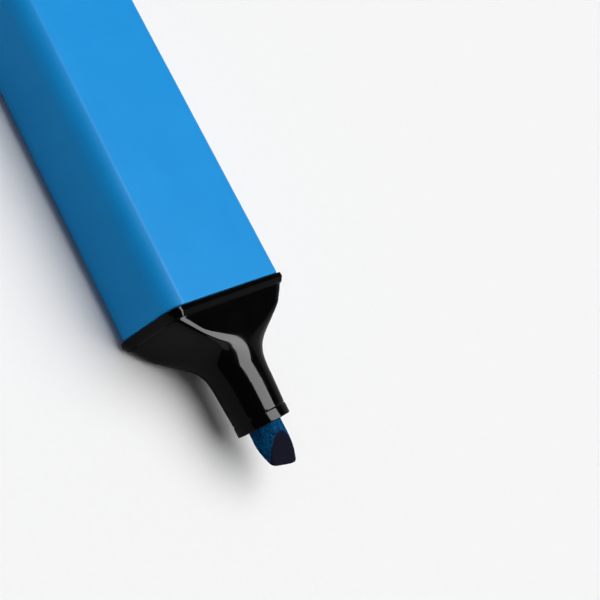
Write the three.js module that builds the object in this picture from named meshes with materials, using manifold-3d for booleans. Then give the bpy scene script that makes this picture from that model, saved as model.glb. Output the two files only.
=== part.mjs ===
// Felt-tip highlighter with a flat barrel, uncapped, the cap pushed on to the rear end.
// Millimetres. +X runs along the pen towards the nib, +Z is up, and the pen lies on one wide face.
// The origin is at the middle of the resting face, half-way along the pen.
import * as THREE from 'three';
import { ParametricGeometry } from 'three/addons/geometries/ParametricGeometry.js';
import { mergeVertices } from 'three/addons/utils/BufferGeometryUtils.js';
import Module from 'manifold-3d';

// Barrel. Lengths along the pen are measured from the barrel's front rim, + towards the nib.
const WIDTH = 27;
const THICKNESS = 15;
const SHOULDER_RADIUS = 4; // between the flat middle of a narrow side and the crease
const SHOULDER_ANGLE = THREE.MathUtils.degToRad(60);
const CREASE_RADIUS = 1.2;
const BARREL_LENGTH = 66;
const BARREL_TAPER = 0.0008; // part of the half width lost per millimetre towards the rear
const BARREL_WALL = 1.2;
const FIT_GAP = 0.3;

// Front section
const FLANGE_THICKNESS = 1.3;
const FLANGE_PROUD = 0.2;
const FLANGE_EDGE = 0.3;
const FLANGE_SHOULDER = 2.8;
const FLANGE_CREASE = 0.7;
const FUNNEL_SIDE_INSET = 0.6;
const FUNNEL_FACE_INSET = 1;
const FUNNEL_LENGTH = 12.8;
const FUNNEL_EASE = 0.62; // below 1, the sides close in quickest near the flange
const FUNNEL_FACES_FROM = 4.9; // where the wide faces start to close in, from the flange
const FUNNEL_FACES_TO = 9.7;
const FUNNEL_SQUARENESS = 0.06; // of the section at the flange; 0.5 is an ellipse
const FUNNEL_ROUNDS_FROM = 2.5;
const FUNNEL_ROUNDS_TO = 8.2;
const NECK_RADIUS = 4.75; // where the funnel ends
const NECK_WAIST_RADIUS = 4.5; // behind the lip
const NECK_END = 21.2;
const LIP_RADIUS = 4.54;
const LIP_LENGTH = 1.75;
const LIP_EDGE = 0.2;
const SPIGOT_LENGTH = 9;
const MOULDED_WALL = 1.2;

// Nib
const NIB_RADIUS = 2.75;
const NIB_EDGE_AT = 28.05; // middle of the writing edge
const NIB_EDGE_LAND = 0.5;
const NIB_FACET_ANGLE = THREE.MathUtils.degToRad(26);
const NIB_EDGE_SLANT = THREE.MathUtils.degToRad(15.6);
const NIB_SHOULDER_AT = -12.8;
const NIB_REAR_AT = -16;
const NIB_REAR_RADIUS = 1.4;

// Ink reservoir and its film sleeve
const FILLER_HALF_WIDTH = 10.3;
const FILLER_HALF_THICKNESS = 5.1;
const SLEEVE_WALL = 0.35;
const POCKET_DEPTH = 8;

// Rear plug
const STUB_LENGTH = 9;
const STUB_HALF_WIDTH = 12.4;
const STUB_HALF_THICKNESS = 6.4;
const STUB_TAPER = 0.35;
const STUB_WALL = 1.3;

// Cap
const CAP_LENGTH = 33;
const CAP_RIM_WALL = 0.7;
const CAP_WALL = 1.1;
const CAP_NARROWING = 0.9; // half width lost between the rim and the closed end
const CAP_THINNING = 0.5; // half thickness lost over the same length
const CAP_END_ROUND = 1.6;
const CAP_END_WALL = 1.5;
const LINER_BORE = 4.95;
const LINER_WALL = 0.5;
const LINER_MOUTH = 12;
const LINER_FLOOR = 1;
const RIB_THICKNESS = 1;

// Facets around the outlines
const FACE_STEPS = 8;
const SHOULDER_STEPS = 3;
const CREASE_STEPS = 2;
const ROUND_STEPS = 32;
const FUNNEL_STEPS = 12;

const wasm = await Module();
wasm.setup();

// ---------------------------------------------------------------- outlines in the Y-Z plane

// One quarter of a section, from the middle of the right side to the middle of the top face.
function quarterOutline(halfWidth, halfThickness, fullShoulder, crease) {
  const { clamp, lerp } = THREE.MathUtils;
  const rise = Math.sin(SHOULDER_ANGLE);
  const creaseZ = halfThickness - crease;
  // A thin section has room for a smaller shoulder only.
  const shoulder = clamp(fullShoulder, crease, crease + (creaseZ - 0.1) / rise);
  const shoulderY = halfWidth - shoulder;
  const shoulderZ = creaseZ - (shoulder - crease) * rise;
  const creaseY = shoulderY + (shoulder - crease) * Math.cos(SHOULDER_ANGLE);
  const points = [[halfWidth, 0]];
  for (let i = 0; i < SHOULDER_STEPS; i += 1) {
    const a = (SHOULDER_ANGLE * i) / SHOULDER_STEPS;
    points.push([shoulderY + shoulder * Math.cos(a), shoulderZ + shoulder * Math.sin(a)]);
  }
  for (let i = 0; i <= CREASE_STEPS; i += 1) {
    const a = lerp(SHOULDER_ANGLE, Math.PI / 2, i / CREASE_STEPS);
    points.push([creaseY + crease * Math.cos(a), creaseZ + crease * Math.sin(a)]);
  }
  for (let i = 1; i < FACE_STEPS / 2; i += 1) {
    points.push([creaseY * (1 - (2 * i) / FACE_STEPS), halfThickness]);
  }
  return points;
}

function sectionOutline(halfWidth, halfThickness, shoulder, crease) {
  const quarter = quarterOutline(halfWidth, halfThickness, shoulder, crease);
  const top = [0, halfThickness];
  const upperLeft = quarter.slice(1).reverse().map(([y, z]) => [-y, z]);
  const upper = [...quarter, top, ...upperLeft];
  const lower = upper.map(([y, z]) => [-y, -z]);
  return [...upper, ...lower];
}

// Flat wide faces, narrow sides with a flat middle and round shoulders, and a small radius along
// the four creases. The outline is drawn inwards by the inset.
function bodyOutline(halfWidth, halfThickness, inset = 0) {
  const crease = Math.max(CREASE_RADIUS - inset / 3, 0.2);
  return sectionOutline(halfWidth - inset, halfThickness - inset, SHOULDER_RADIUS - inset, crease);
}

// As many points as the body outline, at the same angles around the axis. The distance from the
// axis is given as a function of the angle.
function outlineAround(reachAt) {
  const guide = bodyOutline(WIDTH / 2, THICKNESS / 2);
  return guide.map(([y, z]) => {
    const a = Math.atan2(z, y);
    const reach = reachAt(a);
    return [reach * Math.cos(a), reach * Math.sin(a)];
  });
}

function circleOutline(radius) {
  return outlineAround(() => radius);
}

// An ellipse at a squareness of 0.5, and closer to a rectangle below it.
function superellipse(halfWidth, halfThickness, squareness) {
  const power = 1 / squareness;
  return outlineAround((a) => {
    const across = Math.abs(Math.cos(a) / halfWidth) ** power;
    const upwards = Math.abs(Math.sin(a) / halfThickness) ** power;
    return (across + upwards) ** -squareness;
  });
}

// The barrel's own outline at a distance along the pen, drawn inwards by an inset.
function barrelOutline(u, inset) {
  return bodyOutline((WIDTH / 2) * (1 + BARREL_TAPER * u), THICKNESS / 2, inset);
}

// ---------------------------------------------------------------- solids

// Faces left without area by merged vertices are dropped, and the rest are made to face out.
function tidySolid(source) {
  const bare = source.clone();
  bare.deleteAttribute('normal');
  bare.deleteAttribute('uv');
  const merged = mergeVertices(bare, 1e-4);
  const index = Array.from(merged.index.array);
  const position = merged.attributes.position;
  const corner = (i) => new THREE.Vector3().fromBufferAttribute(position, i);
  const kept = [];
  let volume = 0;
  for (let i = 0; i < index.length; i += 3) {
    const [a, b, c] = index.slice(i, i + 3);
    if (a !== b && b !== c && c !== a) {
      kept.push([a, b, c]);
      volume += corner(a).dot(corner(b).cross(corner(c)));
    }
  }
  const facing = volume > 0 ? kept : kept.map(([a, b, c]) => [a, c, b]);
  merged.setIndex(facing.flat());
  merged.computeVertexNormals();
  return merged;
}

// Stretches a skin over outlines placed along X. Each station is [distance, outline].
function skin(stations) {
  const sides = stations[0][1].length;
  const place = (around, along, target) => {
    const [u, outline] = stations[Math.round(along * (stations.length - 1))];
    const [y, z] = outline[Math.round(around * sides) % sides];
    target.set(u, y, z);
  };
  return tidySolid(new ParametricGeometry(place, sides, stations.length - 1));
}

// A turned piece about the X axis. The profile holds [distance, radius] pairs.
function turned(profile) {
  const points = profile.map(([u, radius]) => new THREE.Vector2(radius, u));
  const geometry = new THREE.LatheGeometry(points, ROUND_STEPS);
  return tidySolid(geometry.rotateZ(-Math.PI / 2));
}

function toSolid(geometry) {
  const clean = tidySolid(geometry);
  const vertProperties = new Float32Array(clean.attributes.position.array);
  const triVerts = new Uint32Array(clean.index.array);
  return new wasm.Manifold(new wasm.Mesh({ numProp: 3, vertProperties, triVerts }));
}

function toGeometry(solid) {
  const mesh = solid.getMesh();
  const geometry = new THREE.BufferGeometry();
  geometry.setAttribute('position', new THREE.BufferAttribute(mesh.vertProperties, 3));
  geometry.setIndex(new THREE.BufferAttribute(mesh.triVerts, 1));
  geometry.computeVertexNormals();
  return geometry;
}

function piece(name, geometry, color, roughness, metalness = 0) {
  const material = new THREE.MeshStandardMaterial({ color, roughness, metalness });
  const mesh = new THREE.Mesh(geometry, material);
  mesh.name = name;
  return mesh;
}

// ---------------------------------------------------------------- pieces

function makeBarrel() {
  const rear = -BARREL_LENGTH;
  const edge = 0.15;
  const geometry = skin([
    [rear, barrelOutline(rear, edge)],
    [rear + edge, barrelOutline(rear + edge, 0)],
    [-edge, barrelOutline(-edge, 0)],
    [0, barrelOutline(0, edge)],
    [0, barrelOutline(0, BARREL_WALL)],
    [rear, barrelOutline(rear, BARREL_WALL)],
    [rear, barrelOutline(rear, edge)],
  ]);
  return piece('barrel', geometry, 0x2c92dc, 0.42);
}

// The flange is flush with the wide faces and slightly proud of the narrow sides, and its corners
// are tighter than the barrel's.
function flangeOutline(inset) {
  const halfWidth = WIDTH / 2 + FLANGE_PROUD - inset;
  const crease = Math.max(FLANGE_CREASE - inset / 2, 0.3);
  return sectionOutline(halfWidth, THICKNESS / 2 - inset, FLANGE_SHOULDER - inset, crease);
}

// The funnel's section, nearly a rectangle at the flange and a circle at the neck. Its sides close
// in over the whole length and its wide faces over a shorter part of it.
function funnelOutline(u, inset, radius) {
  const { lerp, smoothstep } = THREE.MathUtils;
  const side = smoothstep((u / FUNNEL_LENGTH) ** FUNNEL_EASE, 0, 1);
  const face = smoothstep(u, FUNNEL_FACES_FROM, FUNNEL_FACES_TO);
  const rounding = smoothstep(u, FUNNEL_ROUNDS_FROM, FUNNEL_ROUNDS_TO);
  const halfWidth = lerp(WIDTH / 2 - FUNNEL_SIDE_INSET - inset, radius, side);
  const halfThickness = lerp(THICKNESS / 2 - FUNNEL_FACE_INSET - inset, radius, face);
  return superellipse(halfWidth, halfThickness, lerp(FUNNEL_SQUARENESS, 0.5, rounding));
}

// The funnel from the flange to the round neck.
function funnelStations(start, inset, radius) {
  const stations = [];
  for (let i = 0; i <= FUNNEL_STEPS; i += 1) {
    const u = (FUNNEL_LENGTH * i) / FUNNEL_STEPS;
    stations.push([start + u, funnelOutline(u, inset, radius)]);
  }
  return stations;
}

function makeFrontSection() {
  const spigotInset = BARREL_WALL + FIT_GAP;
  const flangeRear = FIT_GAP;
  const flangeFront = flangeRear + FLANGE_THICKNESS;
  const boreRadius = NIB_RADIUS + FIT_GAP;
  const outer = [
    [-SPIGOT_LENGTH, barrelOutline(-SPIGOT_LENGTH, spigotInset + 0.3)],
    [-SPIGOT_LENGTH + 0.8, barrelOutline(-SPIGOT_LENGTH + 0.8, spigotInset)],
    [flangeRear, barrelOutline(0, spigotInset)],
    [flangeRear, flangeOutline(0)],
    [flangeFront - FLANGE_EDGE, flangeOutline(0)],
    [flangeFront, flangeOutline(FLANGE_EDGE)],
    ...funnelStations(flangeFront, 0, NECK_RADIUS),
    [NECK_END - LIP_LENGTH, circleOutline(NECK_WAIST_RADIUS)],
    [NECK_END - LIP_LENGTH + LIP_EDGE, circleOutline(LIP_RADIUS)],
    [NECK_END - LIP_EDGE, circleOutline(LIP_RADIUS)],
    [NECK_END, circleOutline(LIP_RADIUS - LIP_EDGE)],
  ];
  const innerInset = spigotInset + MOULDED_WALL - FUNNEL_SIDE_INSET;
  const inside = funnelStations(flangeRear, innerInset, boreRadius).reverse();
  const inner = [
    [NECK_END, circleOutline(boreRadius)],
    ...inside,
    [-SPIGOT_LENGTH, barrelOutline(-SPIGOT_LENGTH, spigotInset + MOULDED_WALL)],
  ];
  const geometry = skin([...outer, ...inner, outer[0]]);
  return piece('front_section', geometry, 0x0b0b0c, 0.16);
}

// A large block whose lower face lies on the plane through a point, on the side of its normal.
function halfSpace(point, normal) {
  const size = 24;
  const direction = normal.clone().normalize();
  const block = new THREE.BoxGeometry(size, size, size);
  block.translate(0, 0, size / 2);
  const turn = new THREE.Quaternion().setFromUnitVectors(new THREE.Vector3(0, 0, 1), direction);
  block.applyQuaternion(turn);
  block.translate(point.x, point.y, point.z);
  return toSolid(block);
}

// The writing edge runs across the pen, slanted so that its +Y end is further forward.
function makeNib() {
  const rod = toSolid(turned([
    [NIB_REAR_AT, 0],
    [NIB_REAR_AT, NIB_REAR_RADIUS],
    [NIB_SHOULDER_AT, NIB_RADIUS],
    [NIB_EDGE_AT + 3, NIB_RADIUS],
    [NIB_EDGE_AT + 3, 0],
  ]));
  const edge = new THREE.Vector3(Math.sin(NIB_EDGE_SLANT), Math.cos(NIB_EDGE_SLANT), 0);
  const forward = new THREE.Vector3(edge.y, -edge.x, 0);
  const cutFacet = (side) => {
    const point = new THREE.Vector3(NIB_EDGE_AT, 0, (side * NIB_EDGE_LAND) / 2);
    const normal = forward.clone().multiplyScalar(Math.sin(NIB_FACET_ANGLE));
    normal.z = side * Math.cos(NIB_FACET_ANGLE);
    return halfSpace(point, normal);
  };
  const end = halfSpace(new THREE.Vector3(NIB_EDGE_AT, 0, 0), forward);
  const solid = rod.subtract(cutFacet(1)).subtract(cutFacet(-1)).subtract(end);
  return piece('nib', toGeometry(solid), 0x0f2f63, 0.9);
}

function ovalOutline(halfWidth, halfThickness) {
  return sectionOutline(halfWidth, halfThickness, halfThickness, halfThickness * 0.8);
}

function makeReservoir() {
  const front = -SPIGOT_LENGTH - FIT_GAP;
  const rear = -BARREL_LENGTH + SPIGOT_LENGTH + FIT_GAP;
  const edge = 0.5;
  const full = ovalOutline(FILLER_HALF_WIDTH, FILLER_HALF_THICKNESS);
  const eased = ovalOutline(FILLER_HALF_WIDTH - edge, FILLER_HALF_THICKNESS - edge);
  const pocket = circleOutline(NIB_RADIUS + FIT_GAP);
  const pole = circleOutline(0);
  const geometry = skin([
    [rear, pole],
    [rear, eased],
    [rear + edge, full],
    [front - edge, full],
    [front, eased],
    [front, pocket],
    [front - POCKET_DEPTH, pocket],
    [front - POCKET_DEPTH, pole],
  ]);
  return piece('ink_reservoir', geometry, 0x3aa0c8, 0.95);
}

function makeReservoirSleeve() {
  const front = -SPIGOT_LENGTH - FIT_GAP;
  const rear = -BARREL_LENGTH + SPIGOT_LENGTH + FIT_GAP;
  const halfWidth = FILLER_HALF_WIDTH + FIT_GAP;
  const halfThickness = FILLER_HALF_THICKNESS + FIT_GAP;
  const inner = ovalOutline(halfWidth, halfThickness);
  const outer = ovalOutline(halfWidth + SLEEVE_WALL, halfThickness + SLEEVE_WALL);
  const geometry = skin([
    [rear, outer],
    [front, outer],
    [front, inner],
    [rear, inner],
    [rear, outer],
  ]);
  return piece('reservoir_sleeve', geometry, 0xdfe6ea, 0.3);
}

// Closes the rear of the barrel. Its hollow stub is a smaller copy of the barrel's section.
function makeRearPlug() {
  const flangeFront = -BARREL_LENGTH - FIT_GAP;
  const flangeRear = flangeFront - FLANGE_THICKNESS;
  const stubEnd = flangeRear - STUB_LENGTH;
  const spigotFront = -BARREL_LENGTH + SPIGOT_LENGTH;
  const spigotInset = BARREL_WALL + FIT_GAP;
  const stub = (inset) => bodyOutline(STUB_HALF_WIDTH, STUB_HALF_THICKNESS, inset);
  const spigot = (inset) => barrelOutline(-BARREL_LENGTH, spigotInset + inset);
  const flange = (inset) => barrelOutline(-BARREL_LENGTH, inset);
  const pole = circleOutline(0);
  const geometry = skin([
    [stubEnd, pole],
    [stubEnd, stub(STUB_TAPER + 0.8)],
    [stubEnd + 0.25, stub(STUB_TAPER + 0.25)],
    [stubEnd + 0.8, stub(STUB_TAPER)],
    [flangeRear, stub(0)],
    [flangeRear, flange(FLANGE_EDGE)],
    [flangeRear + FLANGE_EDGE, flange(0)],
    [flangeFront, flange(0)],
    [flangeFront, spigot(0)],
    [spigotFront - 0.8, spigot(0)],
    [spigotFront, spigot(0.3)],
    [spigotFront, spigot(MOULDED_WALL)],
    [flangeRear, spigot(MOULDED_WALL)],
    [stubEnd + STUB_WALL, spigot(MOULDED_WALL + 0.2)],
    [stubEnd + STUB_WALL, pole],
  ]);
  return piece('rear_plug', geometry, 0x0b0b0c, 0.2);
}

// The cap is made with its rim at x = 0 and its closed end towards +X.
function capOutline(along, inset) {
  const t = THREE.MathUtils.smoothstep(along / CAP_LENGTH, 0, 1);
  return bodyOutline(WIDTH / 2 - CAP_NARROWING * t, THICKNESS / 2 - CAP_THINNING * t, inset);
}

// A rib from the cap's narrow side that holds the liner on the pen's axis.
function capRib(side) {
  const from = LINER_BORE + LINER_WALL + FIT_GAP;
  const reach = WIDTH / 2 - CAP_NARROWING - CAP_WALL / 2;
  const start = LINER_MOUTH + 1.5;
  const end = CAP_LENGTH - CAP_END_WALL / 2;
  const rib = new THREE.BoxGeometry(end - start, reach - from, RIB_THICKNESS);
  rib.translate((start + end) / 2, (side * (from + reach)) / 2, 0);
  return toSolid(rib);
}

function makeCapShell() {
  const rimEdge = 0.2;
  const floor = CAP_LENGTH - CAP_END_WALL;
  const pole = circleOutline(0);
  const endRound = [30, 60, 90].map((degrees) => {
    const a = THREE.MathUtils.degToRad(degrees);
    const along = CAP_LENGTH - CAP_END_ROUND + CAP_END_ROUND * Math.sin(a);
    return [along, capOutline(CAP_LENGTH, CAP_END_ROUND * (1 - Math.cos(a)))];
  });
  const shell = skin([
    [CAP_LENGTH, pole],
    ...endRound.reverse(),
    [CAP_LENGTH - CAP_END_ROUND, capOutline(CAP_LENGTH - CAP_END_ROUND, 0)],
    [24, capOutline(24, 0)],
    [16, capOutline(16, 0)],
    [8, capOutline(8, 0)],
    [rimEdge, capOutline(rimEdge, 0)],
    [0, capOutline(0, rimEdge)],
    [0, capOutline(0, CAP_RIM_WALL)],
    [STUB_LENGTH, capOutline(STUB_LENGTH, CAP_RIM_WALL)],
    [STUB_LENGTH + 1, capOutline(STUB_LENGTH + 1, CAP_WALL)],
    [16, capOutline(16, CAP_WALL)],
    [24, capOutline(24, CAP_WALL)],
    [floor, capOutline(CAP_LENGTH, CAP_WALL)],
    [floor, pole],
  ]);
  const solid = toSolid(shell).add(capRib(1)).add(capRib(-1));
  return piece('cap_shell', toGeometry(solid), 0x0b0b0c, 0.2);
}

function makeCapLiner() {
  const end = CAP_LENGTH - CAP_END_WALL - FIT_GAP;
  const outer = LINER_BORE + LINER_WALL;
  const geometry = turned([
    [end, 0],
    [end, outer],
    [LINER_MOUTH, outer],
    [LINER_MOUTH, LINER_BORE + 0.4],
    [LINER_MOUTH + 0.6, LINER_BORE],
    [end - LINER_FLOOR, LINER_BORE],
    [end - LINER_FLOOR, 0],
  ]);
  return piece('cap_liner', geometry, 0xcfd3d6, 0.5);
}

// ---------------------------------------------------------------- assembly

const capRimAt = -BARREL_LENGTH - 2 * FIT_GAP - FLANGE_THICKNESS;
const frontEnd = NIB_EDGE_AT + NIB_RADIUS * Math.tan(NIB_EDGE_SLANT);
const rearEnd = capRimAt - CAP_LENGTH;

const cap = new THREE.Group();
cap.add(makeCapShell(), makeCapLiner());
cap.position.x = capRimAt;
cap.rotation.z = Math.PI;

const pen = new THREE.Group();
pen.add(makeBarrel(), makeFrontSection(), makeNib());
pen.add(makeReservoir(), makeReservoirSleeve(), makeRearPlug(), cap);
pen.position.set(-(frontEnd + rearEnd) / 2, 0, THICKNESS / 2);

const highlighter = new THREE.Group();
highlighter.add(pen);

export default highlighter;
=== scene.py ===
"""Highlighter: finely shaped pieces, materials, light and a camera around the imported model."""

import math

import bpy
from mathutils import Matrix, Vector, noise


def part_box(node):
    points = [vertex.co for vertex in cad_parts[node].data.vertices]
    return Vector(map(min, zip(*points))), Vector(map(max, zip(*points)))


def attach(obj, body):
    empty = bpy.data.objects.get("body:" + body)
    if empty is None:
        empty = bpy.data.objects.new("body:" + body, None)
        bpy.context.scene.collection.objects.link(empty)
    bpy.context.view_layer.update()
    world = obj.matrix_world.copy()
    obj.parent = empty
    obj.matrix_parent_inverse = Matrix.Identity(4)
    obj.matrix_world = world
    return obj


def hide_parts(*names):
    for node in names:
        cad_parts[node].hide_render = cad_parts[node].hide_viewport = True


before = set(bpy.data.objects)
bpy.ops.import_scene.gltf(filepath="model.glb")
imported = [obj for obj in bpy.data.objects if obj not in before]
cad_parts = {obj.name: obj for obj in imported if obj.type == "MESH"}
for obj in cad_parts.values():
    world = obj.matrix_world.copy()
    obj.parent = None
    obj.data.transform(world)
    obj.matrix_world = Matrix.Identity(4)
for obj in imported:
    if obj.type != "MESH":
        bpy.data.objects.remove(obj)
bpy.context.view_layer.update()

MM = 0.001

# ---------------------------------------------------------------- sizes, in millimetres
# Distances along the pen, u, are measured from the barrel's front rim, + towards the nib.
# Tapers, eases, powers, shares, squareness and the felt's ALONG, AROUND and ACROSS scales are plain numbers.
WIDTH = 27.0
THICKNESS = 15.0
SHOULDER_RADIUS = 4.0
SHOULDER_ANGLE = math.radians(60)
CREASE = 1.2
LEAST_CREASE = 0.3
FACE_FALL = 0.12
FACE_FALL_POWER = 8
BARREL_TAPER = 0.0008
BARREL_LENGTH = 66.0
BARREL_WALL = 1.2
BARREL_LEAST_CREASE = 0.2
RIM_ROUND_OUTSIDE = 0.25
RIM_ROUND_INSIDE = 0.1
FIT_GAP = 0.3
SEAM_GAP = 0.08

FLANGE = 1.3
FLANGE_PROUD = 0.2
FLANGE_SHOULDER = 2.8
FLANGE_CREASE = 0.7
FLANGE_EDGE = 0.8
FLANGE_SLOPE_INSET = 0.5
FLANGE_LEDGE = 0.2
FUNNEL_SIDE_INSET = 0.6
FUNNEL_FACE_INSET = 1.0
FUNNEL_LENGTH = 12.8
FUNNEL_EASE = 0.62
FUNNEL_FACES_FROM = 4.9
FUNNEL_FACES_TO = 9.7
FUNNEL_SQUARENESS = 0.06
ROUND_SQUARENESS = 0.5
FUNNEL_ROUNDS_FROM = 2.5
FUNNEL_ROUNDS_TO = 8.2
FUNNEL_RINGS = 64
BORE_RINGS = 12
NECK_RADIUS = 4.75
NECK_WAIST_RADIUS = 4.5
NECK_END = 21.2
LIP_RADIUS = 4.54
LIP_LENGTH = 1.75
LIP_ROUND = 0.22
LIP_SLANT = 0.06
WAIST_TO_LIP = 0.35
GROOVE_TO_LIP = 0.18
GROOVE_DEPTH = 0.1
MOUTH_WIDENING = 0.7
MOUTH_DEPTH = 0.55
BORE_FROM_MOUTH = 4.0
SPIGOT_LENGTH = 9.0
SPIGOT_LEAD = 0.8
SPIGOT_LEAD_INSET = 0.3
MOULDED_WALL = 1.2

NIB_RADIUS = 2.75
NIB_EDGE_AT = 28.05
NIB_EDGE_LAND = 0.5
NIB_FACET_ANGLE = math.radians(26)
NIB_EDGE_SLANT = math.radians(15.6)
NIB_EDGE_WEAR = 0.75
NIB_WEAR_POWER = 7
NIB_EDGE_SOFTNESS = 0.35
NIB_TIP_FROM = 18.0
NIB_SHOULDER_AT = -12.8
NIB_REAR_AT = -16.0
NIB_REAR_RADIUS = 1.4
ROD_FIBRES = 0.06
ROD_FUZZ = 0.03
CUT_FUZZ = 0.015
CUT_BORDER = 0.3
CUT_BORDER_BEFORE = 0.12
FIBRES_ALONG = 0.5
FIBRES_AROUND = 8
FUZZ_ALONG = 3.3
FUZZ_ACROSS = 4.7

FILLER_HALF_WIDTH = 10.3
FILLER_HALF_THICKNESS = 5.1
FILLER_FLUTES = 0.006
FILLER_END_ROUND = 0.5
FILLER_REAR_INSET = 4.0
FILLER_FRONT_INSET = 1.9
POCKET_CHAMFER = 0.15
POCKET_CHAMFER_DEPTH = 0.2
SLEEVE_WALL = 0.35
SEAM_SHARE = 0.4
SEAM_HALF_WIDTH = 1.5
POCKET_DEPTH = 8.0

STUB_LENGTH = 9.0
STUB_HALF_WIDTH = 12.4
STUB_HALF_THICKNESS = 6.4
STUB_TAPER = 0.35
STUB_WALL = 1.3
STUB_SHOULDER = 3.0
STUB_CREASE = 1.0
STUB_DISH = 0.5
STUB_DISH_INSET = 4.0
STUB_DISH_RIM = 2.2
STUB_END_RIM = 1.9
PLUG_STUB_INSET = 1.1
PLUG_FLOOR_DRAFT = 0.2

CAP_LENGTH = 33.0
CAP_RIM_WALL = 0.7
CAP_WALL = 1.1
CAP_NARROWING = 0.9
CAP_THINNING = 0.5
CAP_END_ROUND = 1.6
CAP_END_WALL = 1.5
CAP_END_CREASE = 1.4
CAP_DISH = 0.25
CAP_RIM_STEP = 1.0
CAP_FLOOR_INSET = 3.0
LINER_BORE = 4.95
LINER_WALL = 0.5
LINER_MOUTH = 12.0
LINER_FLOOR = 1.0
LINER_FLOOR_INSET = 3.0
LINER_END_INSET = 2.0
LINER_MOUTH_WIDENING = 0.3
LINER_MOUTH_DEPTH = 0.6
RIB_THICKNESS = 1.0
RIB_FROM_MOUTH = 1.5

FRONT_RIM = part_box("barrel")[1][0] / MM
AXIS_HEIGHT = THICKNESS / 2
FLANGE_FRONT = FIT_GAP + FLANGE
PLUG_FLANGE_FRONT = -BARREL_LENGTH - SEAM_GAP
PLUG_FLANGE_REAR = -BARREL_LENGTH - FIT_GAP - FLANGE
STUB_END = PLUG_FLANGE_REAR - STUB_LENGTH
CAP_RIM_AT = PLUG_FLANGE_REAR - FIT_GAP

# Points around a quarter of an outline
SIDE_STEPS = 22
CREASE_STEPS = 12
FACE_STEPS = 24
ARC_STEPS = 40
CREASE_SPREAD = math.radians(12)

# Steps elsewhere
CORNER_STEPS = 5
FINE_CORNER_STEPS = 8
LONGEST_STEP = 2.5
NIB_AROUND = 200
NIB_ALONG = 160
NIB_ROW_SPACING = 0.85
RIB_END_STEPS = 8

# Light. Positions and sizes are in metres.
OVERHEAD = (0.12, 0.31, 0.945)
SUN_ANGLE = 75
SUN_STRENGTH = 3.0
WORLD_SEEN = 0.93
WORLD_FILL = 0.14
ROOM_GLOSS = 0.035
BACKDROP_GLOSS = 0.17
PAPER = 0.89
PAPER_MIRRORED = 0.25
PAPER_BOUNCED = 0.68
PAPER_GRAIN = 0.012
FLOOR_HALF_SIZE = 3.0
BACKDROP_FROM_Y = 0.1
BACKDROP_FULL_Y = 0.4
BACKDROP_FULL_Z = 0.4
BACKDROP_TO_Z = 0.52
STRIP_START = (-0.2, -0.06, 0.5)
STRIP_END = (1.0, 0.44, 0.345)
STRIP_WIDTH = 0.36
STRIP_POWER = 15.0
CARD_AT = (0.58, 0.126, 0.075)
CARD_TARGET = (0.03, 0.0, 0.01)
CARD_WIDTH = 0.16
CARD_HEIGHT = 0.12
CARD_POWER = 0.033

# Camera. CAMERA_AT is in pen distances, in millimetres.
CAMERA_AT = (18.156, -103.99, 98.711)
CAMERA_RIGHT = (0.462507, 0.574014, 0.675718)
CAMERA_DOWN = (0.882698, -0.226548, -0.411728)
CAMERA_FORWARD = (-0.083255, 0.786882, -0.611461)
CAMERA_LENS = 54
CAMERA_SENSOR = 36


# ---------------------------------------------------------------- outlines in the Y-Z plane
def lerp(a, b, t):
    return a + (b - a) * t


def smoothstep(t):
    t = min(max(t, 0.0), 1.0)
    return t * t * (3 - 2 * t)


def arc(centre, radius, start, end):
    """Points of an arc, without its last one."""
    angles = [lerp(start, end, i / ARC_STEPS) for i in range(ARC_STEPS)]
    return [(centre[0] + radius * math.cos(a), centre[1] + radius * math.sin(a)) for a in angles]


def dense_quarter(half_width, half_thickness, shoulder, crease):
    """Points from the right side's middle to the top's middle, and the crease's first and last point.

    The narrow side is flat in its middle, then turns on the shoulder's radius and at last on the crease's.
    """
    rise = math.sin(SHOULDER_ANGLE)
    shoulder = min(max(shoulder, crease), crease + (half_thickness - crease) / rise)
    flat = half_thickness - crease - (shoulder - crease) * rise
    crease_y = half_width - shoulder + (shoulder - crease) * math.cos(SHOULDER_ANGLE)
    side = [(half_width, 0.0)] + arc((half_width - shoulder, flat), shoulder, 0, SHOULDER_ANGLE)
    turn = arc((crease_y, half_thickness - crease), crease, SHOULDER_ANGLE, math.pi / 2)
    turn.append((crease_y, half_thickness))
    return side + turn + [(0.0, half_thickness)], turn[0], turn[-1]


def polar(point):
    return math.atan2(point[1], point[0])


def at_angle(points, angle):
    """Where a ray from the axis crosses a polyline whose polar angles rise from 0 to 90 degrees."""
    ray = (math.cos(angle), math.sin(angle))
    for a, b in zip(points, points[1:]):
        side_a = ray[0] * a[1] - ray[1] * a[0]
        side_b = ray[0] * b[1] - ray[1] * b[0]
        if side_b >= -1e-12:
            t = 0.0 if side_b == side_a else min(max(-side_a / (side_b - side_a), 0.0), 1.0)
            return lerp(a[0], b[0], t), lerp(a[1], b[1], t)
    return points[-1]


def quarter_angles(middle, spread):
    """Polar angles from the right side's middle to the top's, closest together around the crease."""
    low, high = middle - spread, middle + spread
    angles = [low * i / SIDE_STEPS for i in range(SIDE_STEPS)]
    angles += [lerp(low, high, i / CREASE_STEPS) for i in range(CREASE_STEPS)]
    return angles + [lerp(high, math.pi / 2, i / FACE_STEPS) for i in range(FACE_STEPS)]


def mirrored(quarter, half_thickness):
    """The whole outline from its first quarter, which leaves out the top's middle."""
    upper = quarter + [(0.0, half_thickness)] + [(-y, z) for y, z in reversed(quarter[1:])]
    return upper + [(-y, -z) for y, z in upper]


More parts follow.
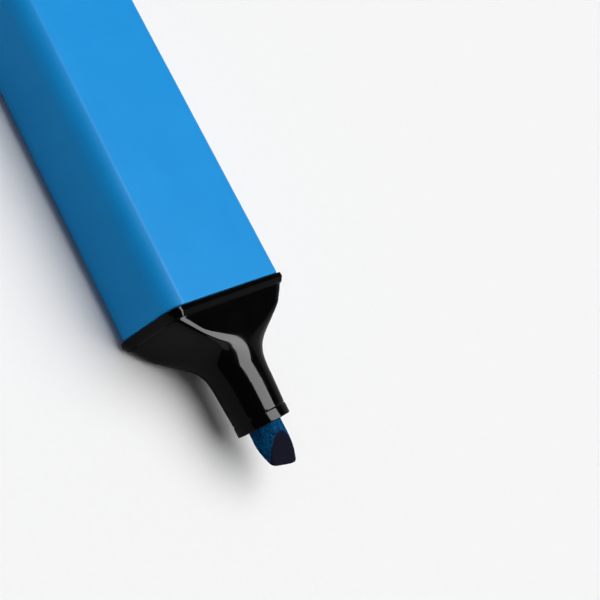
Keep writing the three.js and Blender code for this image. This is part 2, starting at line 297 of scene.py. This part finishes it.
def body_outline(half_width, half_thickness, shoulder, crease, fall=0.0):
    """Wide faces that fall a little towards the creases, and rounded narrow sides."""
    points, start, end = dense_quarter(half_width, half_thickness, shoulder, crease)
    spread = min((polar(end) - polar(start)) / 2, CREASE_SPREAD)
    quarter = [at_angle(points, a) for a in quarter_angles((polar(start) + polar(end)) / 2, spread)]
    quarter = [(y, z * (1 - fall / half_thickness * (y / half_width) ** FACE_FALL_POWER)) for y, z in quarter]
    return mirrored(quarter, half_thickness)


def superellipse(half_width, half_thickness, squareness):
    """An ellipse at ROUND_SQUARENESS, and closer to a rectangle below it."""
    quarter = []
    for angle in quarter_angles(math.atan2(half_thickness, half_width), CREASE_SPREAD):
        along, across = math.cos(angle) / half_width, math.sin(angle) / half_thickness
        reach = (along ** (1 / squareness) + across ** (1 / squareness)) ** -squareness
        quarter.append((reach * math.cos(angle), reach * math.sin(angle)))
    return mirrored(quarter, half_thickness)


def circle_outline(radius):
    return superellipse(radius, radius, ROUND_SQUARENESS)


def barrel_outline(u, inset):
    """The barrel's section at a distance along the pen, drawn inwards by an inset."""
    half_width = WIDTH / 2 * (1 + BARREL_TAPER * u) - inset
    crease = max(CREASE - inset / 3, BARREL_LEAST_CREASE)
    return body_outline(half_width, THICKNESS / 2 - inset, SHOULDER_RADIUS - inset, crease, FACE_FALL)


# ---------------------------------------------------------------- meshes
def rounded(profile, steps=CORNER_STEPS):
    """Rounds a polyline's corners. Each corner is (u, inset) or (u, inset, radius)."""
    out = []
    for i, corner in enumerate(profile):
        radius = corner[2] if len(corner) > 2 else 0.0
        here = Vector(corner[:2])
        if not radius:
            out.append(tuple(here))
            continue
        back = (Vector(profile[i - 1][:2]) - here).normalized()
        on = (Vector(profile[i + 1][:2]) - here).normalized()
        half = back.angle(on) / 2
        cut = radius / math.tan(half)
        centre = here + (back + on).normalized() * (radius / math.sin(half))
        start, end = here + back * cut - centre, here + on * cut - centre
        sweep = -start.angle_signed(end)
        for k in range(steps + 1):
            turned = Matrix.Rotation(sweep * k / steps, 2) @ start
            out.append(tuple(centre + turned))
    return out


def subdivided(profile):
    """Adds points so that no step along the pen is longer than LONGEST_STEP."""
    out = [profile[0]]
    for a, b in zip(profile, profile[1:]):
        steps = math.ceil(abs(b[0] - a[0]) / LONGEST_STEP) or 1
        out += [(lerp(a[0], b[0], i / steps), lerp(a[1], b[1], i / steps)) for i in range(1, steps + 1)]
    return out


def place(u, y, z):
    """Pen distances in millimetres to the frame's metres."""
    return ((FRONT_RIM + u) * MM, y * MM, (AXIS_HEIGHT + z) * MM)


def new_object(name, verts, faces, body, node):
    """A smooth-shaded piece that rides on a body and stands for a CAD node."""
    mesh = bpy.data.meshes.new(name)
    mesh.from_pydata(verts, [], faces)
    mesh.validate()
    for polygon in mesh.polygons:
        polygon.use_smooth = True
    face_outwards(mesh)
    obj = bpy.data.objects.new(name, mesh)
    bpy.context.scene.collection.objects.link(obj)
    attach(obj, body)
    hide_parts(node)
    return obj


def face_outwards(mesh):
    """Flips the mesh if its volume comes out negative."""
    volume = 0.0
    for polygon in mesh.polygons:
        corners = [mesh.vertices[i].co for i in polygon.vertices]
        for b, c in zip(corners[1:], corners[2:]):
            volume += corners[0].dot(b.cross(c))
    if volume < 0:
        mesh.flip_normals()


def skin_mesh(stations, closed):
    """Quads stretched over outlines placed along the pen. An outline of None is a pole on the axis."""
    verts, faces, rows = [], [], []
    for u, outline in stations:
        points = [(0.0, 0.0)] if outline is None else outline
        first = len(verts)
        verts += [place(u, y, z) for y, z in points]
        rows.append(list(range(first, len(verts))))
    pairs = list(zip(rows, rows[1:]))
    if closed:
        pairs.append((rows[-1], rows[0]))
    for a, b in pairs:
        count = max(len(a), len(b))
        for i in range(count):
            j = (i + 1) % count
            if len(a) == 1:
                faces.append((a[0], b[j], b[i]))
            elif len(b) == 1:
                faces.append((a[i], a[j], b[0]))
            else:
                faces.append((a[i], a[j], b[j], b[i]))
    return verts, faces


def weigh_normals(obj):
    obj.modifiers.new("weighted_normals", "WEIGHTED_NORMAL").keep_sharp = True


def skin(name, stations, body, node, closed=False):
    verts, faces = skin_mesh(stations, closed)
    obj = new_object(name, verts, faces, body, node)
    weigh_normals(obj)
    return obj


# ---------------------------------------------------------------- barrel and front section
def make_barrel():
    """An open tube with rounded rims."""
    rear = -BARREL_LENGTH
    profile = rounded([
        (rear / 2, BARREL_WALL),
        (rear, BARREL_WALL, RIM_ROUND_INSIDE),
        (rear, 0, RIM_ROUND_OUTSIDE),
        (0, 0, RIM_ROUND_OUTSIDE),
        (0, BARREL_WALL, RIM_ROUND_INSIDE),
        (rear / 2, BARREL_WALL),
    ])
    stations = [(u, barrel_outline(u, inset)) for u, inset in profile[:-1]]
    return skin("barrel_body", stations, "pen", "barrel", closed=True)


def flange_outline(inset):
    half_width = WIDTH / 2 + FLANGE_PROUD - inset
    crease = max(FLANGE_CREASE - inset / 2, LEAST_CREASE)
    return body_outline(half_width, THICKNESS / 2 - inset, FLANGE_SHOULDER - inset, crease, FACE_FALL)


def funnel_outline(u, inset, radius):
    """The funnel's section, nearly a rectangle at the flange and a circle at the neck.

    The sides close in over the whole length, quickest near the flange, and the wide faces over a part of it.
    """
    side = smoothstep((u / FUNNEL_LENGTH) ** FUNNEL_EASE)
    face = smoothstep((u - FUNNEL_FACES_FROM) / (FUNNEL_FACES_TO - FUNNEL_FACES_FROM))
    rounding = smoothstep((u - FUNNEL_ROUNDS_FROM) / (FUNNEL_ROUNDS_TO - FUNNEL_ROUNDS_FROM))
    half_width = lerp(WIDTH / 2 - FUNNEL_SIDE_INSET - inset, radius, side)
    half_thickness = lerp(THICKNESS / 2 - FUNNEL_FACE_INSET - inset, radius, face)
    return superellipse(half_width, half_thickness, lerp(FUNNEL_SQUARENESS, ROUND_SQUARENESS, rounding))


def funnel(start, radius, inset, steps):
    """Stations from the flange to the round neck."""
    distances = [FUNNEL_LENGTH * i / steps for i in range(steps + 1)]
    return [(start + u, funnel_outline(u, inset, radius)) for u in distances]


def neck_profile(bore):
    """From the funnel's end past a groove and the lip to the mouth and the bore, as (u, -radius)."""
    lip = NECK_END - LIP_LENGTH
    return rounded([
        (FLANGE_FRONT + FUNNEL_LENGTH, -NECK_RADIUS),
        (lip - WAIST_TO_LIP, -NECK_WAIST_RADIUS, 0.08),
        (lip - GROOVE_TO_LIP, -NECK_WAIST_RADIUS + GROOVE_DEPTH, 0.05),
        (lip + LIP_SLANT, -LIP_RADIUS, 0.12),
        (NECK_END - LIP_SLANT, -LIP_RADIUS, LIP_ROUND),
        (NECK_END, -bore - MOUTH_WIDENING, 0.15),
        (NECK_END - MOUTH_DEPTH, -bore, 0.15),
        (NECK_END - BORE_FROM_MOUTH, -bore),
    ])


def make_front_section():
    """Spigot, flange, funnel and neck on the outside, and the bore with its own funnel inside."""
    spigot = BARREL_WALL + FIT_GAP
    bore = NIB_RADIUS + FIT_GAP
    flange_side = rounded([
        (SEAM_GAP, spigot),
        (SEAM_GAP, 0, 0.15),
        (FLANGE_FRONT - FLANGE_EDGE, 0, 0.4),
        (FLANGE_FRONT, FLANGE_SLOPE_INSET, 0.15),
        (FLANGE_FRONT, FUNNEL_SIDE_INSET + FLANGE_LEDGE),
    ], FINE_CORNER_STEPS)
    lead = -SPIGOT_LENGTH + SPIGOT_LEAD
    stations = [
        (-SPIGOT_LENGTH, barrel_outline(-SPIGOT_LENGTH, spigot + SPIGOT_LEAD_INSET)),
        (lead, barrel_outline(lead, spigot)),
    ]
    stations += [(u, flange_outline(inset)) for u, inset in flange_side[:-1]]
    stations += funnel(FLANGE_FRONT, NECK_RADIUS, 0.0, FUNNEL_RINGS)
    stations += [(u, circle_outline(-r)) for u, r in neck_profile(bore)[1:]]
    inner_inset = spigot + MOULDED_WALL - FUNNEL_SIDE_INSET
    stations += reversed(funnel(FIT_GAP, bore, inner_inset, BORE_RINGS))
    stations.append((-SPIGOT_LENGTH, barrel_outline(-SPIGOT_LENGTH, spigot + MOULDED_WALL)))
    return skin("front_funnel", stations, "pen", "front_section", closed=True)


# ---------------------------------------------------------------- nib, reservoir and sleeve
def soft_min(a, b, k):
    """The smaller of a and b with a rounded transition of size k."""
    h = max(k - abs(a - b), 0.0) / k
    return min(a, b) - h * h * k / 4


def nib_edge(y):
    """How far forward the writing edge is at y, with worn corners."""
    worn = NIB_EDGE_WEAR * (abs(y) / NIB_RADIUS) ** NIB_WEAR_POWER
    return NIB_EDGE_AT + y * math.tan(NIB_EDGE_SLANT) - worn


def nib_point(part, angle):
    """A point of the nib's tip and how far it is cut felt. Part runs from 0 in the neck to 1 at the edge."""
    y = NIB_RADIUS * math.cos(angle)
    z_rod = NIB_RADIUS * abs(math.sin(angle))
    end = nib_edge(y)
    u = lerp(NIB_TIP_FROM, end, part)
    z_facet = NIB_EDGE_LAND / 2 + (end - u) * math.tan(NIB_FACET_ANGLE)
    z = max(soft_min(z_rod, z_facet, NIB_EDGE_SOFTNESS), 0.0)
    cut = smoothstep((z_rod - z_facet + CUT_BORDER_BEFORE) / CUT_BORDER)
    return u, y, math.copysign(z, math.sin(angle)), cut


def felt_lift(u, y, z, cut):
    """Fibres along the rod, and a finer, flatter fuzz where the felt was cut."""
    length = math.hypot(y, z) or 1.0
    around_y, around_z = y / length * FIBRES_AROUND, z / length * FIBRES_AROUND
    fibre = noise.noise(Vector((u * FIBRES_ALONG, around_y, around_z)))
    fuzz = noise.noise(Vector((u * FUZZ_ALONG, y * FUZZ_ACROSS, z * FUZZ_ACROSS)))
    return lerp(ROD_FIBRES * fibre + ROD_FUZZ * fuzz, CUT_FUZZ * fuzz, cut)


def nib_rings():
    """Rows of (u, y, z, cut) from the rear of the rod to the writing edge."""
    angles = [2 * math.pi * (i + 0.5) / NIB_AROUND for i in range(NIB_AROUND)]
    rear = [(NIB_REAR_AT, NIB_REAR_RADIUS), (NIB_SHOULDER_AT, NIB_RADIUS), (0.0, NIB_RADIUS)]
    rows = [[(u, r * math.cos(a), r * math.sin(a), 0.0) for a in angles] for u, r in rear]
    for j in range(NIB_ALONG + 1):
        row = []
        for a in angles:
            u, y, z, cut = nib_point((j / NIB_ALONG) ** NIB_ROW_SPACING, a)
            length = math.hypot(y, z) or 1.0
            scale = 1 + felt_lift(u, y, z, cut) / length
            row.append((u, y * scale, z * scale, cut))
        rows.append(row)
    return rows


def make_nib():
    """The felt rod and its cut tip. The attribute named cut marks the cut face for the material."""
    rows = nib_rings()
    n = NIB_AROUND
    verts = [place(u, y, z) for row in rows for u, y, z, _ in row]
    faces = []
    for j in range(len(rows) - 1):
        for i in range(n):
            k = (i + 1) % n
            faces.append((j * n + i, j * n + k, (j + 1) * n + k, (j + 1) * n + i))
    last = (len(rows) - 1) * n
    for i in range(n // 2 - 1):
        faces.append((last + i, last + i + 1, last + n - 2 - i, last + n - 1 - i))
    faces.append(tuple(range(n - 1, -1, -1)))
    obj = new_object("nib_felt_tip", verts, faces, "pen", "nib")
    cuts = obj.data.attributes.new("cut", "FLOAT", "POINT")
    for i, vertex in enumerate(vertex for row in rows for vertex in row):
        cuts.data[i].value = vertex[3]
    return obj


def oval_outline(half_width, half_thickness):
    """A section whose narrow sides are nearly half circles."""
    return body_outline(half_width, half_thickness, half_thickness, half_thickness * 0.8)


def make_reservoir():
    """A bundle of fibres with shallow flutes, a rounded edge at both ends and a pocket for the nib."""
    front = -SPIGOT_LENGTH - FIT_GAP
    rear = -BARREL_LENGTH + SPIGOT_LENGTH + FIT_GAP

    def section(inset):
        outline = oval_outline(FILLER_HALF_WIDTH - inset, FILLER_HALF_THICKNESS - inset)
        flutes = [1 - FILLER_FLUTES * math.cos(i * math.pi / 4) ** 2 for i in range(len(outline))]
        return [(y * f, z * f) for (y, z), f in zip(outline, flutes)]

    pocket = NIB_RADIUS + FIT_GAP
    profile = rounded([
        (rear, FILLER_REAR_INSET),
        (rear, 0, FILLER_END_ROUND),
        (front, 0, FILLER_END_ROUND),
        (front, FILLER_FRONT_INSET),
    ])
    stations = [(rear, None)]
    stations += [(u, section(inset)) for u, inset in profile]
    stations += [
        (front, circle_outline(pocket + POCKET_CHAMFER)),
        (front - POCKET_CHAMFER_DEPTH, circle_outline(pocket)),
        (front - POCKET_DEPTH, circle_outline(pocket)),
        (front - POCKET_DEPTH, None),
    ]
    return skin("ink_filler", stations, "pen", "ink_reservoir")


def make_sleeve():
    """A film tube with a heat-sealed seam along one narrow side."""
    front = -SPIGOT_LENGTH - FIT_GAP
    rear = -BARREL_LENGTH + SPIGOT_LENGTH + FIT_GAP
    half_width = FILLER_HALF_WIDTH + FIT_GAP
    half_thickness = FILLER_HALF_THICKNESS + FIT_GAP
    inner = oval_outline(half_width, half_thickness)
    film = SLEEVE_WALL * (1 - SEAM_SHARE)
    outer = oval_outline(half_width + film, half_thickness + film)
    lap = SLEEVE_WALL * SEAM_SHARE
    seam = [(y + (lap if y > 0 and abs(z) < SEAM_HALF_WIDTH else 0), z) for y, z in outer]
    stations = [(rear, seam), (front, seam), (front, inner), (rear, inner)]
    return skin("filler_film", stations, "pen", "reservoir_sleeve", closed=True)


# ---------------------------------------------------------------- rear plug and cap
def stub_outline(inset):
    half_width, half_thickness = STUB_HALF_WIDTH - inset, STUB_HALF_THICKNESS - inset
    crease = max(STUB_CREASE - inset / 3, LEAST_CREASE)
    return body_outline(half_width, half_thickness, STUB_SHOULDER - inset, crease)


def make_rear_plug():
    """Spigot, flange and hollow stub. The stub's end wall is dished."""
    spigot_end = -BARREL_LENGTH + SPIGOT_LENGTH
    spigot_inset = BARREL_WALL + FIT_GAP
    inside = spigot_inset + MOULDED_WALL
    floor = STUB_END + STUB_WALL + STUB_DISH
    flange_side = rounded([
        (PLUG_FLANGE_REAR, PLUG_STUB_INSET),
        (PLUG_FLANGE_REAR, 0, 0.3),
        (PLUG_FLANGE_FRONT, 0, 0.2),
        (PLUG_FLANGE_FRONT, spigot_inset),
    ])
    stub_side = rounded([
        (STUB_END + STUB_DISH, STUB_TAPER + STUB_DISH_INSET),
        (STUB_END + STUB_DISH, STUB_TAPER + STUB_DISH_RIM, 0.3),
        (STUB_END, STUB_TAPER + STUB_END_RIM, 0.3),
        (STUB_END, STUB_TAPER, 0.6),
        (PLUG_FLANGE_REAR, 0),
    ])
    stations = [(STUB_END + STUB_DISH, None)]
    stations += [(u, stub_outline(inset)) for u, inset in stub_side]
    stations += [(u, barrel_outline(-BARREL_LENGTH, inset)) for u, inset in flange_side]
    stations += [
        (spigot_end - SPIGOT_LEAD, barrel_outline(-BARREL_LENGTH, spigot_inset)),
        (spigot_end, barrel_outline(-BARREL_LENGTH, spigot_inset + SPIGOT_LEAD_INSET)),
        (spigot_end, barrel_outline(-BARREL_LENGTH, inside)),
        (floor, barrel_outline(-BARREL_LENGTH, inside + PLUG_FLOOR_DRAFT)),
        (floor, None),
    ]
    return skin("end_plug", stations, "pen", "rear_plug")


def cap_outline(along, inset):
    """The cap's section at a distance from its rim: the barrel's at first, then narrower and thinner."""
    t = smoothstep(along / CAP_LENGTH)
    half_width = WIDTH / 2 - CAP_NARROWING * t - inset
    half_thickness = THICKNESS / 2 - CAP_THINNING * t - inset
    crease = max(lerp(CREASE, CAP_END_CREASE, t) - inset / 3, LEAST_CREASE)
    return body_outline(half_width, half_thickness, SHOULDER_RADIUS - inset, crease, FACE_FALL)


def cap_placed(stations):
    """Distances from the cap's rim to distances along the pen, with the cap pushed on to the rear stub."""
    return [(CAP_RIM_AT - along, outline) for along, outline in stations]


def make_cap_rib(name, side):
    """A rib from the cap's narrow side to the liner, with its free edge rounded."""
    near = side * (LINER_BORE + LINER_WALL + FIT_GAP)
    far = side * (WIDTH / 2 - CAP_NARROWING - CAP_WALL / 2)
    start, end = LINER_MOUTH + RIB_FROM_MOUTH, CAP_LENGTH - CAP_END_WALL / 2
    half = RIB_THICKNESS / 2
    turns = [math.pi * (i / RIB_END_STEPS - 0.5) for i in range(RIB_END_STEPS + 1)]
    loop = [(start - half * math.cos(a), half * math.sin(a)) for a in turns] + [(end, half), (end, -half)]
    verts = [place(CAP_RIM_AT - along, y, z) for y in (near, far) for along, z in loop]
    n = len(loop)
    faces = [(i, (i + 1) % n, n + (i + 1) % n, n + i) for i in range(n)]
    faces += [tuple(range(n - 1, -1, -1)), tuple(range(n, 2 * n))]
    rib = new_object(name, verts, faces, "cap", "cap_shell")
    weigh_normals(rib)
    return rib


def make_cap_shell():
    """A cup with the barrel's section, a thin rim and a rounded closed end whose face is slightly dished."""
    floor = CAP_LENGTH - CAP_END_WALL
    side = subdivided(rounded([
        (CAP_LENGTH, CAP_END_ROUND * 3),
        (CAP_LENGTH, 0, CAP_END_ROUND),
        (0, 0, 0.25),
        (0, CAP_RIM_WALL, 0.2),
        (STUB_LENGTH, CAP_RIM_WALL),
        (STUB_LENGTH + CAP_RIM_STEP, CAP_WALL),
        (floor, CAP_WALL, 0.3),
        (floor, CAP_WALL + CAP_FLOOR_INSET),
    ], FINE_CORNER_STEPS))
    stations = [(along, cap_outline(along, inset)) for along, inset in side]
    stations = [(CAP_LENGTH - CAP_DISH, None)] + stations + [(floor, None)]
    return skin("cap_cup", cap_placed(stations), "cap", "cap_shell")


def make_cap_liner():
    """A round cup with a widened mouth that seals around the neck when the pen is closed."""
    end = CAP_LENGTH - CAP_END_WALL - FIT_GAP
    outer = LINER_BORE + LINER_WALL
    side = rounded([
        (end, outer - LINER_END_INSET),
        (end, outer, 0.4),
        (LINER_MOUTH, outer, 0.15),
        (LINER_MOUTH, LINER_BORE + LINER_MOUTH_WIDENING, 0.1),
        (LINER_MOUTH + LINER_MOUTH_DEPTH, LINER_BORE, 0.3),
        (end - LINER_FLOOR, LINER_BORE, 0.6),
        (end - LINER_FLOOR, LINER_BORE - LINER_FLOOR_INSET),
    ])
    stations = [(end, None)]
    stations += [(along, circle_outline(r)) for along, r in side]
    stations += [(end - LINER_FLOOR, None)]
    return skin("cap_inner_cup", cap_placed(stations), "cap", "cap_liner")


# ---------------------------------------------------------------- materials
class Graph:
    """A short way to write a material's node tree."""

    def __init__(self, name, roughness=0.5, specular=0.5):
        self.material = bpy.data.materials.new(name)
        self.material.use_nodes = True
        self.tree = self.material.node_tree
        self.shader = self.tree.nodes["Principled BSDF"]
        self.shader.inputs["Roughness"].default_value = roughness
        self.shader.inputs["Specular IOR Level"].default_value = specular
        self.coords = self.tree.nodes.new("ShaderNodeTexCoord").outputs["Object"]

    def set(self, socket, value):
        if isinstance(value, bpy.types.NodeSocket):
            self.tree.links.new(value, socket)
        else:
            socket.default_value = value

    def node(self, kind, inputs=None, **settings):
        made = self.tree.nodes.new(kind)
        for key, value in settings.items():
            setattr(made, key, value)
        for key, value in (inputs or {}).items():
            self.set(made.inputs[key], value)
        return made

    def scaled(self, x, y, z):
        return self.node("ShaderNodeMapping", {"Vector": self.coords, "Scale": (x, y, z)}).outputs[0]

    def noise(self, scale, detail=3.0, vector=None, roughness=0.5):
        vector = vector or self.coords
        inputs = {"Vector": vector, "Scale": scale, "Detail": detail, "Roughness": roughness}
        return self.node("ShaderNodeTexNoise", inputs).outputs["Fac"]

    def span(self, value, low, high, to_low=0.0, to_high=1.0):
        inputs = {"Value": value, "From Min": low, "From Max": high, "To Min": to_low, "To Max": to_high}
        return self.node("ShaderNodeMapRange", inputs).outputs[0]

    def mix(self, factor, a, b):
        return self.node("ShaderNodeMix", {0: factor, 6: a, 7: b}, data_type="RGBA").outputs[2]

    def math(self, operation, a, b=0.0):
        return self.node("ShaderNodeMath", {0: a, 1: b}, operation=operation).outputs[0]

    def bump(self, height, distance, strength=1.0, under=None):
        inputs = {"Height": height, "Distance": distance, "Strength": strength}
        if under is not None:
            inputs["Normal"] = under
        return self.node("ShaderNodeBump", inputs).outputs[0]

    def link(self, name, value):
        self.set(self.shader.inputs[name], value)


def grey(value):
    return (value, value, value, 1)


def barrel_material():
    """Satin blue plastic: faint clouds in the colour, handling marks in the gloss, a fine moulded skin."""
    g = Graph("blue_satin_plastic", specular=0.1)
    clouds = g.noise(110, 5)
    g.link("Base Color", g.mix(g.span(clouds, 0.3, 0.7), (0.003, 0.268, 0.68, 1), (0.005, 0.286, 0.71, 1)))
    marks = g.noise(1.0, 5, g.scaled(90, 260, 260), 0.6)
    g.link("Roughness", g.span(marks, 0.35, 0.7, 0.42, 0.5))
    fine = g.bump(g.noise(7000, 2), 0.000004, 0.5)
    g.link("Normal", g.bump(g.noise(240, 3), 0.000012, 0.4, fine))
    return g.material


def black_material(name, roughness):
    """Glossy black plastic with light smudges and the slight waviness of a moulding."""
    g = Graph(name, specular=0.22)
    smudges = g.noise(220, 5, roughness=0.6)
    g.link("Base Color", g.mix(g.span(smudges, 0.4, 0.7), grey(0.0008), grey(0.0014)))
    g.link("Roughness", g.span(smudges, 0.35, 0.72, roughness * 0.8, roughness * 1.5))
    g.link("Normal", g.bump(g.noise(420, 2), 0.00001, 0.3))
    return g.material


def felt_material():
    """Ink-soaked felt: light and dark fibres along the rod, and a smoother, darker cut face."""
    g = Graph("inked_felt", roughness=0.9, specular=0.02)
    strands = g.noise(1.0, 5, g.scaled(420, 5200, 5200), 0.65)
    specks = g.noise(2600, 3)
    tone = g.math("ADD", g.math("MULTIPLY", strands, 0.55), g.math("MULTIPLY", specks, 0.45))
    rod = g.mix(g.span(tone, 0.42, 0.72), (0.0006, 0.017, 0.062, 1), (0.003, 0.14, 0.34, 1))
    face = g.mix(g.span(tone, 0.35, 0.7), (0.0045, 0.005, 0.011, 1), (0.008, 0.009, 0.019, 1))
    cut = g.node("ShaderNodeAttribute", attribute_name="cut").outputs["Fac"]
    g.link("Base Color", g.mix(cut, rod, face))
    g.link("Normal", g.bump(tone, 0.00012, 0.7))
    return g.material


def fibre_material():
    """White polyester fibre with ink drawn up unevenly from the nib's end."""
    g = Graph("inked_fibre", roughness=0.95, specular=0.1)
    strands = g.noise(1.0, 5, g.scaled(160, 4200, 4200), 0.6)
    soaked = g.noise(1.0, 3, g.scaled(60, 220, 220))
    colour = g.mix(g.span(soaked, 0.35, 0.6), (0.02, 0.28, 0.5, 1), (0.01, 0.16, 0.42, 1))
    g.link("Base Color", g.mix(g.span(strands, 0.4, 0.75, 0.0, 0.5), colour, (0.3, 0.6, 0.75, 1)))
    g.link("Normal", g.bump(strands, 0.0001, 0.7))
    return g.material


def film_material():
    """Thin milky film, creased by the fibres under it."""
    g = Graph("milky_film", specular=0.5)
    creases = g.noise(1.0, 4, g.scaled(120, 900, 900), 0.6)
    g.link("Base Color", g.mix(g.span(creases, 0.35, 0.7), (0.55, 0.68, 0.74, 1), (0.72, 0.8, 0.83, 1)))
    g.link("Roughness", g.span(creases, 0.3, 0.7, 0.2, 0.4))
    g.link("Normal", g.bump(creases, 0.00004, 0.6))
    return g.material


def liner_material():
    """Soft milky plastic with turning-like ripples from its mould."""
    g = Graph("milky_plastic", specular=0.4)
    ripples = g.noise(1.0, 2, g.scaled(2200, 150, 150))
    g.link("Base Color", g.mix(g.span(ripples, 0.3, 0.7), (0.6, 0.62, 0.63, 1), (0.68, 0.7, 0.71, 1)))
    g.link("Roughness", g.span(ripples, 0.3, 0.7, 0.35, 0.5))
    g.link("Normal", g.bump(ripples, 0.00001, 0.4))
    return g.material


def paint(obj, material):
    obj.data.materials.clear()
    obj.data.materials.append(material)


# ---------------------------------------------------------------- scene
def make_floor():
    """White paper. Other surfaces see it dimmed, as in a studio where most of the table is flagged off."""
    size = FLOOR_HALF_SIZE
    mesh = bpy.data.meshes.new("floor")
    corners = [(-size, -size, 0), (size, -size, 0), (size, size, 0), (-size, size, 0)]
    mesh.from_pydata(corners, [], [(0, 1, 2, 3)])
    floor = bpy.data.objects.new("floor", mesh)
    bpy.context.scene.collection.objects.link(floor)
    g = Graph("white_paper", roughness=1.0, specular=0.0)
    grain = g.span(g.noise(900, 4), 0.3, 0.7)
    paper = g.mix(grain, grey(PAPER - PAPER_GRAIN), grey(PAPER))
    path = g.node("ShaderNodeLightPath")
    paper = g.mix(path.outputs["Is Diffuse Ray"], paper, grey(PAPER_BOUNCED))
    g.link("Base Color", g.mix(path.outputs["Is Glossy Ray"], paper, grey(PAPER_MIRRORED)))
    mesh.materials.append(g.material)


def make_world():
    """A pale room to the camera and a weak fill for matt surfaces.

    Shiny surfaces see a dark room with a low pale backdrop on the +Y side.
    """
    world = bpy.data.worlds.new("studio")
    bpy.context.scene.world = world
    world.use_nodes = True
    tree = world.node_tree
    tree.nodes.clear()
    path = tree.nodes.new("ShaderNodeLightPath")

    def background(value):
        node = tree.nodes.new("ShaderNodeBackground")
        if isinstance(value, bpy.types.NodeSocket):
            tree.links.new(value, node.inputs["Color"])
        else:
            node.inputs["Color"].default_value = grey(value)
        return node.outputs[0]

    def ramp(source, start, end, low, high):
        node = tree.nodes.new("ShaderNodeMapRange")
        node.interpolation_type = "SMOOTHSTEP"
        tree.links.new(source, node.inputs["Value"])
        for name, value in zip(("From Min", "From Max", "To Min", "To Max"), (start, end, low, high)):
            node.inputs[name].default_value = value
        return node.outputs[0]

    def choose(factor, otherwise, chosen):
        node = tree.nodes.new("ShaderNodeMixShader")
        for socket, source in zip(node.inputs, (factor, otherwise, chosen)):
            tree.links.new(source, socket)
        return node.outputs[0]

    direction = tree.nodes.new("ShaderNodeSeparateXYZ")
    tree.links.new(tree.nodes.new("ShaderNodeTexCoord").outputs["Generated"], direction.inputs[0])
    behind = ramp(direction.outputs["Y"], BACKDROP_FROM_Y, BACKDROP_FULL_Y, 0, 1)
    low = ramp(direction.outputs["Z"], BACKDROP_FULL_Z, BACKDROP_TO_Z, BACKDROP_GLOSS, 0)
    backdrop = tree.nodes.new("ShaderNodeMath")
    backdrop.operation = "MULTIPLY_ADD"
    tree.links.new(behind, backdrop.inputs[0])
    tree.links.new(low, backdrop.inputs[1])
    backdrop.inputs[2].default_value = ROOM_GLOSS
    shiny = background(backdrop.outputs[0])
    unseen = choose(path.outputs["Is Glossy Ray"], background(WORLD_FILL), shiny)
    seen = choose(path.outputs["Is Camera Ray"], unseen, background(WORLD_SEEN))
    out = tree.nodes.new("ShaderNodeOutputWorld")
    tree.links.new(seen, out.inputs["Surface"])


def aim(light, location, target):
    light.location = location
    light.rotation_mode = "QUATERNION"
    light.rotation_quaternion = (Vector(target) - Vector(location)).to_track_quat("-Z", "Y")
    bpy.context.scene.collection.objects.link(light)


def make_sun():
    """A wide round light at infinity, so that the paper is as bright far off as it is near.

    Only matt surfaces see it. The softboxes make the highlights.
    """
    data = bpy.data.lights.new("overhead", "SUN")
    data.angle = math.radians(SUN_ANGLE)
    data.energy = SUN_STRENGTH
    light = bpy.data.objects.new("overhead", data)
    light.visible_glossy = False
    aim(light, OVERHEAD, (0, 0, 0))


def gloss_box(name, location, target, size_x, size_y, power):
    """A softbox that only shiny surfaces see."""
    data = bpy.data.lights.new(name, "AREA")
    data.shape = "RECTANGLE"
    data.size = size_x
    data.size_y = size_y
    data.energy = power
    light = bpy.data.objects.new(name, data)
    light.visible_diffuse = False
    aim(light, location, target)


def gloss_strip(name, start, end, width, power):
    """A long softbox from one point to another, facing the pen, that only shiny surfaces see."""
    start, end = Vector(start), Vector(end)
    centre = (start + end) / 2
    along = (end - start).normalized()
    away = (centre - along * centre.dot(along)).normalized()
    data = bpy.data.lights.new(name, "AREA")
    data.shape = "RECTANGLE"
    data.size = (end - start).length
    data.size_y = width
    data.energy = power
    light = bpy.data.objects.new(name, data)
    light.visible_diffuse = False
    turn = Matrix((along, away.cross(along), away)).transposed()
    light.matrix_world = Matrix.LocRotScale(centre, turn, None)
    bpy.context.scene.collection.objects.link(light)


def make_camera():
    """The main view, across the pen's front half from above its -Y side."""
    data = bpy.data.cameras.new("camera")
    data.sensor_width = CAMERA_SENSOR
    data.lens = CAMERA_LENS
    data.clip_start = 0.005
    data.clip_end = 20
    camera = bpy.data.objects.new("camera", data)
    up, back = -Vector(CAMERA_DOWN), -Vector(CAMERA_FORWARD)
    turn = Matrix((CAMERA_RIGHT, up, back)).transposed()
    camera.matrix_world = Matrix.LocRotScale(Vector(place(*CAMERA_AT)), turn, None)
    bpy.context.scene.collection.objects.link(camera)
    bpy.context.scene.camera = camera


def set_colours():
    """Colours as rendered, with no film look."""
    settings = bpy.context.scene.view_settings
    settings.view_transform = "Standard"
    settings.look = "None"
    settings.exposure = 0
    settings.gamma = 1


set_colours()
make_camera()
make_floor()
make_world()
make_sun()
gloss_strip("long_strip", STRIP_START, STRIP_END, STRIP_WIDTH, STRIP_POWER)
gloss_box("front_card", CARD_AT, CARD_TARGET, CARD_WIDTH, CARD_HEIGHT, CARD_POWER)

black = black_material("black_gloss_plastic", 0.09)
paint(make_barrel(), barrel_material())
paint(make_front_section(), black)
paint(make_nib(), felt_material())
paint(make_reservoir(), fibre_material())
paint(make_sleeve(), film_material())
paint(make_rear_plug(), black)
paint(make_cap_shell(), black)
paint(make_cap_rib("cap_rib_left", -1), black)
paint(make_cap_rib("cap_rib_right", 1), black)
paint(make_cap_liner(), liner_material())
